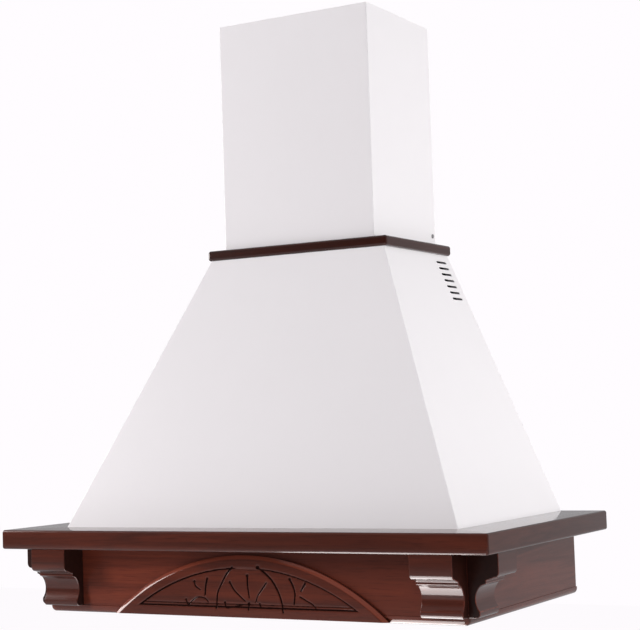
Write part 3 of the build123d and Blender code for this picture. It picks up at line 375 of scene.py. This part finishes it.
wood_x = wood("lacquered_wood_x", "X", 0.3, 0.80)
wood_x_trim = wood("lacquered_wood_x_trim", "X", 5.2, 0.40)
# The low front copy is lighter than the shelf's front: painted light on the skirt front and front bead
# below the shelf.
wood_x_low_painted_light = wood("lacquered_wood_x_low_painted_light", "X", 2.1, 1.35)
wood_x_moulded = wood("lacquered_wood_x_moulded", "X", 3.4, 0.80)
# The side (Y) copies are darker than the front copies of the shelf, skirt, beads and corbels: painted shade
# on those sides.
wood_y_painted_shade = wood("lacquered_wood_y_painted_shade", "Y", 1.7, 0.40)
wood_y_low_painted_shade = wood("lacquered_wood_y_low", "Y", 0.9, 0.75)
wood_y_moulded_painted_shade = wood("lacquered_wood_y_moulded", "Y", 6.3, 0.55)
# The edge copy is lighter than the corbels it edges: a painted highlight along their broken edges.
wood_edge_painted_highlight = wood("lacquered_wood_edge_painted_highlight", "X", 7.1, 0.9)
wood_carved = wood("lacquered_wood_carved", "X", 4.4, 1.0, stained=True)
# The end copy is dark end grain, made near black also as painted shade where the corbel ends sit in shadow.
wood_end_with_shade = end_grain_and_shade("lacquered_wood_end_with_shade")
wood_groove_with_shade = groove("stained_groove")
white = enamel("white_enamel", WHITE_ENAMEL)
grey = enamel("grey_enamel", GREY_ENAMEL, 0.42)
zinc = metal("zinc_sheet", ZINC, 0.36, "Z", 0.4, spangle=0.5)
satin_steel = metal("satin_steel", STEEL, 0.28, "X")
bright_steel = metal("bright_steel", STEEL, 0.22, "Y", 0.5)
aluminium = metal("bare_aluminium", ALUMINIUM, 0.34, "X")
black = plastic("black_plastic", BLACK, 0.5)
black_gloss = plastic("black_gloss_plastic", BLACK, 0.18, 0.3)
light = plastic("light_plastic", OFF_WHITE, 0.32, 0.5)
motor_paint = enamel("motor_enamel", DARK_ENAMEL, 0.4, 2.0)
glass = frosted("frosted_glass")

dress(wood_x, "shelf_front")
dress(wood_x_trim, "neck_trim_front")
dress(wood_x_low_painted_light, "skirt_front", "bead_front", "arch_panel")
dress(wood_y_painted_shade, "shelf_left", "shelf_right", "neck_trim_left", "neck_trim_right")
dress(wood_y_low_painted_shade, "skirt_left", "skirt_right", "bead_left", "bead_right")
dress(wood_x_moulded, "corbel_front_left", "corbel_front_right")
dress(wood_y_moulded_painted_shade, "corbel_side_left", "corbel_side_right")
dress(white, "canopy_shell", "flue_cover", "flue_extension")
dress(grey, "underside_tray")
dress(zinc, "back_panel", "hanger_rail", "flue_feet", "flue_bracket", "outlet_adapter", "motor_bracket")
dress(black, "scroll_front", "scroll_rear", "impeller", "outlet_collar", "flap_left", "flap_right")
dress(black, "terminal_box", "cable_gland", "control_box", "switch_bank")
dress(black, "filter_catch_left", "filter_catch_right")
dress(black_gloss, "control_fascia")
dress(light, "capacitor", *[f"push_button_{index}" for index in range(1, 6)])
dress(aluminium, "filter_frame_left", "filter_frame_right", "filter_mesh_left", "filter_mesh_right")
dress(satin_steel, "lamp_housing_left", "lamp_housing_right")
dress(glass, "lamp_lens_left", "lamp_lens_right")
dress(motor_paint, "blower_motor")
dress(bright_steel, "motor_shaft", "flap_pin", "canopy_screws", "tray_screws", "flue_screws")


# Boards and mouldings with their edges broken, as a cutter and sandpaper leave them
SAME_POINT = 0.02 * MM
FLAT_TURN = math.radians(0.5)
EDGE_TURN = math.radians(32)
EDGE_BREAK = 1.2 * MM
JOINT_BREAK = 0.5 * MM
EDGE_SEGMENTS = 2
END_FACING = 0.95
EDGE_HIGHLIGHT_SLOT = 1
END_SLOT = 2


def whole_mesh(node, name, end_axis=None):
    """A node's mesh with its split corners joined. Faces along the end axis are the ends of a moulding."""
    mesh = nodes[node].data.copy()
    mesh.name = name
    shape = bmesh.new()
    shape.from_mesh(mesh)
    bmesh.ops.remove_doubles(shape, verts=shape.verts, dist=SAME_POINT)
    bmesh.ops.dissolve_limit(shape, angle_limit=FLAT_TURN, verts=shape.verts, edges=shape.edges)
    for face in shape.faces:
        face.smooth = True
        # Ends of a moulding take the end-grain copy, near black also as painted shade.
        if end_axis is not None and abs(face.normal[end_axis]) > END_FACING:
            face.material_index = END_SLOT
    for edge in shape.edges:
        edge.smooth = edge.is_manifold and edge.calc_face_angle(0.0) < EDGE_TURN
    shape.to_mesh(mesh)
    shape.free()
    # Slot 1: the lighter edge copy, a painted highlight on the corbels' broken edges. Slot 2: end grain,
    # near black also as painted shade.
    mesh.materials.append(wood_edge_painted_highlight)
    mesh.materials.append(wood_end_with_shade)
    return mesh


def wooden_piece(node, mesh):
    """A piece of the hood that stands for a wooden node."""
    piece = bpy.data.objects.new(mesh.name, mesh)
    scene.collection.objects.link(piece)
    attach(piece, "hood")
    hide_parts(node)
    return piece


def broken_edges(node, width, edge_slot=0, end_axis=None):
    """Stands for a wooden node with every sharp edge bevelled."""
    piece = wooden_piece(node, whole_mesh(node, node + "_moulded", end_axis))
    bevel = piece.modifiers.new("broken_edges", "BEVEL")
    bevel.width = width
    bevel.segments = EDGE_SEGMENTS
    bevel.limit_method = "ANGLE"
    bevel.angle_limit = EDGE_TURN
    bevel.harden_normals = True
    bevel.material = edge_slot


for side in ("left", "right"):
    broken_edges(f"corbel_front_{side}", EDGE_BREAK, EDGE_HIGHLIGHT_SLOT, end_axis=0)
    broken_edges(f"corbel_side_{side}", EDGE_BREAK, EDGE_HIGHLIGHT_SLOT, end_axis=1)
for place in ("front", "left", "right"):
    for board in ("shelf", "skirt", "neck_trim"):
        broken_edges(f"{board}_{place}", JOINT_BREAK)


# Beads: the rounding of their lower outer edge, 6 mm in the solids, is made larger
BEAD_ROUND = 6.01 * MM
BEAD_GROWTH = 1.5


def fuller_bead(node):
    """Stands for a bead, with its rounding grown inward and upward."""
    mesh = whole_mesh(node, node + "_rounded")
    low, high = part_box(node)
    outer = max(-low.x, high.x)
    for vertex in mesh.vertices:
        x, y, z = vertex.co
        insets = (outer - abs(x), y - low.y)
        if z - low.z > BEAD_ROUND or min(insets) > BEAD_ROUND:
            continue
        inset_x, inset_y = [inset * (BEAD_GROWTH if inset <= BEAD_ROUND else 1) for inset in insets]
        vertex.co = (math.copysign(outer - inset_x, x), low.y + inset_y, low.z + (z - low.z) * BEAD_GROWTH)
    wooden_piece(node, mesh)


for place in ("front", "left", "right"):
    fuller_bead(f"bead_{place}")


# Carved arch panel: the CAD panel's outline and field, with the grooves cut into its face.
# Lengths are in millimetres.
CARVE_COLUMNS = 700
CARVE_ROWS = 130
SIDE_TRIM = 0.5
RIM_SLOPE = 7.0
RIM_DROP = 3.6
RIM_CURVE = 1.25
ORNAMENT_SHIFT = 6.0
RIM_BAND = 20.0
RIM_SILL = 16.0
FIELD_DEPTH = 2.0
FIELD_WALL = 1.4
OUTLINE_GROOVE = 1.1
OUTLINE_WIDTH = 1.1
OUTLINE_INSET = 0.2
CROWN_GAP = 20.0
CROWN_FADE = 6.0
CROWN_CUT = 0.4
SILL_LINE = 4.5
SILL_GROOVE = 0.5
STROKE_TAPER = 0.35
DOT_DEPTH = 1.1
LEAST_WOOD = 0.8
# How deep a cut must be to be fully dark (staining with painted shade), and how dark a face must be to take
# the groove material
STAIN_AND_SHADE_DEPTH = 1.3
GROOVE_STAIN_AND_SHADE = 0.3
# How far the painted light on the rim's slope reaches
PAINTED_RIM_LIGHT_SHARE = 0.3

# Strokes of the ornament: width, depth, a dot at the start, then points from the panel's middle
STROKES = [
    (1.25, 1.7, 0.0, [(-27, -60), (-38, -70), (-49, -87), (-57, -103), (-59, -126)]),
    (1.35, 1.8, 2.6, [(21, -60), (30, -66), (44, -78), (54, -92), (61, -108), (66, -129)]),
    (1.20, 1.6, 2.0, [(0, -73), (0.5, -90), (3, -108)]),
    (1.10, 1.4, 1.6, [(-33, -84), (-25, -96), (-14, -106), (-5, -113)]),
    (1.10, 1.3, 0.0, [(35, -84), (26, -95), (19, -104), (15, -114)]),
    (1.00, 1.3, 1.5, [(-43, -116), (-41, -123), (-34, -124), (-10, -119)]),
    (1.20, 1.6, 1.8, [(2, -117), (2, -122), (2, -127)]),
    (1.00, 1.2, 1.5, [(22, -117), (26, -123), (38, -123)]),
    (1.45, 1.7, 1.6, [(-76, -79), (-79, -90), (-81, -105)]),
    (1.10, 1.3, 1.8, [(-101, -84), (-99, -91), (-90, -97)]),
    (1.00, 1.2, 1.5, [(-118, -113), (-114, -121), (-106, -115), (-96, -109), (-82, -110), (-75, -116)]),
    (1.25, 1.6, 1.8, [(78, -77), (84, -88), (87, -100), (85, -116)]),
    (1.35, 1.5, 1.4, [(106, -83), (102, -89), (98, -95)]),
    (1.00, 1.2, 0.0, [(96, -104), (108, -110), (118, -115), (124, -121)]),
]


def smooth_path(points, steps=8):
    """A Catmull-Rom curve through the points."""
    p = np.array([points[0]] + list(points) + [points[-1]], float)
    path = []
    for k in range(len(p) - 3):
        for t in np.linspace(0, 1, steps, endpoint=False):
            path.append(0.5 * (2 * p[k + 1] + (p[k + 2] - p[k]) * t
                               + (2 * p[k] - 5 * p[k + 1] + 4 * p[k + 2] - p[k + 3]) * t**2
                               + (3 * p[k + 1] - p[k] - 3 * p[k + 2] + p[k + 3]) * t**3))
    path.append(p[-2])
    return np.array(path)


def path_distance(x, z, path):
    """Distance of every grid point from a path, and how far along the path it lies, 0 to 1."""
    best = np.full(x.shape, np.inf)
    along = np.zeros(x.shape)
    for k in range(len(path) - 1):
        a, b = path[k], path[k + 1]
        ab = b - a
        t = np.clip(((x - a[0]) * ab[0] + (z - a[1]) * ab[1]) / max(ab @ ab, 1e-9), 0, 1)
        d = np.hypot(x - a[0] - t * ab[0], z - a[1] - t * ab[1])
        near = d < best
        best = np.where(near, d, best)
        along = np.where(near, (k + t) / (len(path) - 1), along)
    return best, along


def smoothstep(value, width):
    t = np.clip(value / width, 0, 1)
    return t * t * (3 - 2 * t)


def bell(distance, width):
    """The section of a cut line: 1 in its middle, falling off to 0."""
    return np.exp(-(distance / width) ** 2)


def line_cuts(x, rise, height, field):
    """How deep the lines round the field and along its foot are cut."""
    cut = OUTLINE_GROOVE * bell(field - OUTLINE_INSET, OUTLINE_WIDTH)
    crown = np.abs(x - ORNAMENT_SHIFT) - CROWN_GAP
    faded = CROWN_CUT + (1 - CROWN_CUT) * smoothstep(crown, CROWN_FADE)
    cut *= np.where(rise > height / 2, faded, 1)
    sill_cut = SILL_GROOVE * bell(rise - RIM_SILL - SILL_LINE, OUTLINE_WIDTH)
    return np.maximum(cut, np.where(field > 0, sill_cut, 0))


def stroke_cuts(x, z, cut):
    """How deep the ornament's strokes are cut, where they are deeper than the cuts before them."""
    for width, deep, dot, points in STROKES:
        path = smooth_path([(px + ORNAMENT_SHIFT, pz) for px, pz in points])
        distance, along = path_distance(x, z, path)
        cut = np.maximum(cut, deep * bell(distance, width * (1.0 - STROKE_TAPER * along)))
        if dot:
            from_start = np.hypot(x - path[0][0], z - path[0][1])
            cut = np.maximum(cut, DOT_DEPTH * deep * bell(from_start, dot))
    return cut


def slab(x, y, z, back):
    """Vertices and faces of a closed slab. Its front is a grid of columns and rows, its back is flat."""
    count = CARVE_COLUMNS * CARVE_ROWS
    verts = [np.stack([x, y, z], -1).reshape(-1, 3)]
    for k in (0, CARVE_ROWS - 1):
        verts.append(np.stack([x[:, k], np.full(CARVE_COLUMNS, back), z[:, k]], -1))
    index = np.arange(count).reshape(CARVE_COLUMNS, CARVE_ROWS)
    a, b, c, d = index[:-1, :-1], index[1:, :-1], index[1:, 1:], index[:-1, 1:]
    faces = np.stack([a, b, c, d], -1).reshape(-1, 4).tolist()
    foot_row = count + np.arange(CARVE_COLUMNS)
    top_row = foot_row + CARVE_COLUMNS
    for k in range(CARVE_COLUMNS - 1):
        faces.append([foot_row[k], foot_row[k + 1], index[k + 1, 0], index[k, 0]])
        faces.append([index[k, -1], index[k + 1, -1], top_row[k + 1], top_row[k]])
        faces.append([foot_row[k + 1], foot_row[k], top_row[k], top_row[k + 1]])
    faces.append([foot_row[0]] + index[0, :].tolist() + [top_row[0]])
    faces.append(([foot_row[-1]] + index[-1, :].tolist() + [top_row[-1]])[::-1])
    return np.concatenate(verts) * MM, [[int(i) for i in face] for face in faces]


def paint(mesh, stain_and_shade, painted_rim_light):
    """Gives the mesh the attributes that its material reads: dark staining with painted shade in the cuts,
    and painted light on the rim's slope. The deep cuts get the near-black groove material.
    """
    for name, values in (("stain_and_shade", stain_and_shade), ("painted_rim_light", painted_rim_light)):
        attribute = mesh.attributes.new(name, "FLOAT", "POINT")
        rear = np.zeros(2 * CARVE_COLUMNS)
        attribute.data.foreach_set("value", np.concatenate([values.reshape(-1), rear]))
    deep = (stain_and_shade[:-1, :-1] + stain_and_shade[1:, :-1] + stain_and_shade[1:, 1:] + stain_and_shade[:-1, 1:]) / 4 > GROOVE_STAIN_AND_SHADE
    slots = np.zeros(len(mesh.polygons), np.int32)
    slots[: deep.size] = deep.reshape(-1)
    mesh.polygons.foreach_set("material_index", slots)
    mesh.materials.append(wood_carved)
    mesh.materials.append(wood_groove_with_shade)


def carved_panel(node):
    """A closed mesh of the panel, its front a fine grid pushed in by the carving."""
    low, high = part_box(node)
    middle_x = (low.x + high.x) / 2 / MM
    half_width = high.x / MM - middle_x
    height = (high.z - low.z) / MM
    radius = (half_width**2 + height**2) / (2 * height)
    middle_z = high.z / MM - radius
    foot = low.z / MM
    front, back = low.y / MM, high.y / MM
    columns = np.linspace(SIDE_TRIM - half_width, half_width - SIDE_TRIM, CARVE_COLUMNS)
    rows = np.linspace(0, 1, CARVE_ROWS)
    x, t = np.meshgrid(columns, rows, indexing="ij")
    top = middle_z + np.sqrt(radius**2 - x**2)
    z = foot + t * (top - foot)
    inside = radius - np.hypot(x, z - middle_z)
    slope = 1 - np.clip(inside / RIM_SLOPE, 0, 1)
    field = np.minimum(inside - RIM_BAND, z - foot - RIM_SILL)
    cut = stroke_cuts(x, z, line_cuts(x, z - foot, height, field))
    depth = RIM_DROP * slope**RIM_CURVE + FIELD_DEPTH * smoothstep(field, FIELD_WALL) + cut
    y = front + np.minimum(depth, back - front - LEAST_WOOD)

    verts, faces = slab(x + middle_x, y, z, back)
    mesh = bpy.data.meshes.new("arch_panel_carved")
    mesh.from_pydata(verts.tolist(), [], faces)
    mesh.update()
    smooth = np.zeros(len(mesh.polygons), bool)
    smooth[: (CARVE_COLUMNS - 1) * (CARVE_ROWS - 1)] = True
    mesh.polygons.foreach_set("use_smooth", smooth)
    # Dark staining with painted shade in the cuts, and painted light on the rim's slope
    paint(mesh, np.clip(cut / STAIN_AND_SHADE_DEPTH, 0, 1), smoothstep(slope, PAINTED_RIM_LIGHT_SHARE))
    wooden_piece(node, mesh)


carved_panel("arch_panel")


# Grease filters: two sheets of expanded metal behind one another, half a mesh apart
DIAMOND_LENGTH = 8.0 * MM
DIAMOND_HEIGHT = 4.6 * MM
STRAND_WIDTH = 1.1 * MM
STRAND_HEIGHT = 1.2 * MM
STRAND_CORNERS = ((-1, -1), (1, -1), (1, 1), (-1, 1))


def zigzag_sheet(shape, low, high, level, shift):
    """Zigzag strands side by side that touch at their turns, and so leave diamond openings."""
    steps = round((high.x - low.x) / (DIAMOND_LENGTH / 2))
    rows = round((high.y - low.y) / DIAMOND_HEIGHT)
    pitch = (high.y - low.y - STRAND_WIDTH) / rows
    for row in range(rows):
        middle = low.y + STRAND_WIDTH / 2 + (row + 0.5) * pitch
        rings = []
        for step in range(steps + 1):
            x = low.x + (high.x - low.x) * step / steps
            y = middle + pitch / 2 * (-1) ** (step + row + shift)
            rings.append([
                shape.verts.new((x, y + across * STRAND_WIDTH / 2, level + up * STRAND_HEIGHT / 2))
                for across, up in STRAND_CORNERS
            ])
        shape.faces.new(rings[0])
        shape.faces.new(rings[-1][::-1])
        for first, second in zip(rings, rings[1:]):
            for k in range(4):
                after = (k + 1) % 4
                shape.faces.new((first[k], second[k], second[after], first[after]))


def expanded_metal(node):
    """Stands for a filter's mesh with two sheets of strands."""
    low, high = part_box(node)
    shape = bmesh.new()
    zigzag_sheet(shape, low, high, low.z + STRAND_HEIGHT / 2, 0)
    zigzag_sheet(shape, low, high, high.z - STRAND_HEIGHT / 2, 1)
    bmesh.ops.recalc_face_normals(shape, faces=shape.faces)
    mesh = bpy.data.meshes.new(node + "_expanded")
    shape.to_mesh(mesh)
    shape.free()
    mesh.materials.append(aluminium)
    piece = bpy.data.objects.new(mesh.name, mesh)
    scene.collection.objects.link(piece)
    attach(piece, nodes[node]["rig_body"])
    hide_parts(node)


for side in ("left", "right"):
    expanded_metal(f"filter_mesh_{side}")


# Floor, far enough below to be out of the photograph
FLOOR_DROP = 0.9
FLOOR_SIZE = 14.0
FLOOR_COLOUR = (0.80, 0.79, 0.80)
FLOOR_GLOW = 1.06
FLOOR_MIRROR = 0.5
GLOW_SHARE = 0.9
BACKDROP_TINT = (1.0, 0.974, 1.0, 1.0)


def floor_material():
    """Pale and matt; it glows where it is seen, still shows the shadow, and is clear from below."""
    n = Material("floor")
    n.set(Base_Color=(*FLOOR_COLOUR, 1.0), Roughness=0.9)
    path = n.add("ShaderNodeLightPath").outputs
    glow = n.add("ShaderNodeEmission")
    glow.inputs["Color"].default_value = BACKDROP_TINT
    n.feed(n.level(path["Is Glossy Ray"], 0.0, 1.0, FLOOR_GLOW, FLOOR_MIRROR), glow.inputs["Strength"])
    looked_at = n.maths("MAXIMUM", path["Is Camera Ray"], path["Is Glossy Ray"])
    looked_at = n.maths("MAXIMUM", looked_at, path["Is Transmission Ray"])
    share = n.maths("MULTIPLY", looked_at, GLOW_SHARE)
    above = n.mix_shader(share, n.shader.outputs["BSDF"], glow.outputs["Emission"])
    clear = n.add("ShaderNodeBsdfTransparent").outputs["BSDF"]
    from_below = n.add("ShaderNodeNewGeometry").outputs["Backfacing"]
    n.link(n.mix_shader(from_below, above, clear), n.tree.nodes["Material Output"].inputs["Surface"])
    return n.material


half = FLOOR_SIZE / 2
floor_z = cad_box[0][2] - FLOOR_DROP
floor_corners = [(x, y, floor_z) for x, y in ((-half, -half), (half, -half), (half, half), (-half, half))]
floor_mesh = bpy.data.meshes.new("floor")
floor_mesh.from_pydata(floor_corners, [], [(0, 1, 2, 3)])
floor_mesh.materials.append(floor_material())
floor = bpy.data.objects.new("floor", floor_mesh)
scene.collection.objects.link(floor)


# World: white where it is seen, softer where it lights the hood, and dim in front of it
WORLD_LEVEL = 0.14
WORLD_TOP = 0.34
MIRROR_BACK = 0.42
MIRROR_FRONT = 0.05
MIRROR_UP = 0.35

# The directions over which each of them changes: how far up, or how far back, turned a little to the right
LIGHT_RISE = (-0.2, 0.9)
MIRROR_RISE = (0.25, 0.75)
MIRROR_SWEEP = (-0.35, 0.30)
MIRROR_TURN = 0.35

world = bpy.data.worlds.new("world")
scene.world = world
world.use_nodes = True
world.node_tree.nodes.clear()
sky = Nodes(world.node_tree)


def background(strength):
    """A background in the backdrop's tint. Its strength may be a socket or a number."""
    node = sky.add("ShaderNodeBackground")
    node.inputs["Color"].default_value = BACKDROP_TINT
    sky.feed(strength, node.inputs["Strength"])
    return node.outputs["Background"]


def eased(value, bounds, out_low, out_high):
    return sky.level(value, *bounds, out_low, out_high, "SMOOTHSTEP")


separate = sky.add("ShaderNodeSeparateXYZ")
sky.link(sky.add("ShaderNodeTexCoord").outputs["Generated"], separate.inputs["Vector"])
axes = separate.outputs
toward_back = sky.maths("MULTIPLY_ADD", axes["X"], MIRROR_TURN, axes["Y"])
around = eased(toward_back, MIRROR_SWEEP, MIRROR_FRONT, MIRROR_BACK)
overhead = eased(axes["Z"], MIRROR_RISE, 0.0, MIRROR_UP)
mirrored_sky = background(sky.maths("MAXIMUM", around, overhead))
lighting_sky = background(eased(axes["Z"], LIGHT_RISE, WORLD_LEVEL, WORLD_TOP))
rays = sky.add("ShaderNodeLightPath").outputs
looked_at = sky.maths("MAXIMUM", rays["Is Camera Ray"], rays["Is Transmission Ray"])
unseen_sky = sky.mix_shader(rays["Is Glossy Ray"], lighting_sky, mirrored_sky)
whole_sky = sky.mix_shader(looked_at, unseen_sky, background(1.0))
sky.link(whole_sky, sky.add("ShaderNodeOutputWorld").inputs["Surface"])


# Lamps. Those that are mirrored show in the lacquered and white pieces alone.
PLAIN_TINT = (1.0, 1.0, 1.0)
FRONT_TINT = (1.0, 0.985, 0.99)
GLINT_TINT = (1.0, 0.95, 0.94)
MIRRORING = ("lacquered", "white")

mirroring = bpy.data.collections.new("mirroring")
for item in scene.objects:
    if item.type == "MESH" and any(m and m.name.startswith(MIRRORING) for m in item.data.materials):
        mirroring.objects.link(item)


def lamp(name, place, target, size, power, colour=PLAIN_TINT, mirrored=False):
    """A soft box that points at a spot. One that is mirrored shows in the gloss and lights nothing else."""
    data = bpy.data.lights.new(name, "AREA")
    data.shape = "RECTANGLE"
    data.size, data.size_y = size
    data.energy = power
    data.color = colour
    item = bpy.data.objects.new(name, data)
    item.location = place
    item.visible_glossy = mirrored
    item.visible_diffuse = not mirrored
    if mirrored:
        item.light_linking.receiver_collection = mirroring
    item.rotation_euler = (Vector(target) - Vector(place)).to_track_quat("-Z", "Y").to_euler()
    scene.collection.objects.link(item)


lamp("key_right", (2.3, 0.1, 0.5), (0.1, -0.2, 0.15), (1.4, 1.4), 42.0)
lamp("front_left", (-3.7, -3.9, 2.0), (0.0, -0.3, 0.1), (1.4, 1.4), 198.0, FRONT_TINT)
lamp("front_right", (1.5, -3.9, 0.0), (0.1, -0.4, 0.0), (1.2, 1.2), 16.0)
# This one points up, and a hair toward the wall, which settles how it is turned
lamp("glint_below", (-0.1, -0.6, -0.75), (-0.1, -0.5999, 0.0), (0.45, 1.4), 16.0, GLINT_TINT, mirrored=True)
lamp("glint_left", (-2.2, -0.9, 0.75), (-0.2, -0.47, -0.1), (1.6, 1.0), 46.0, GLINT_TINT, mirrored=True)
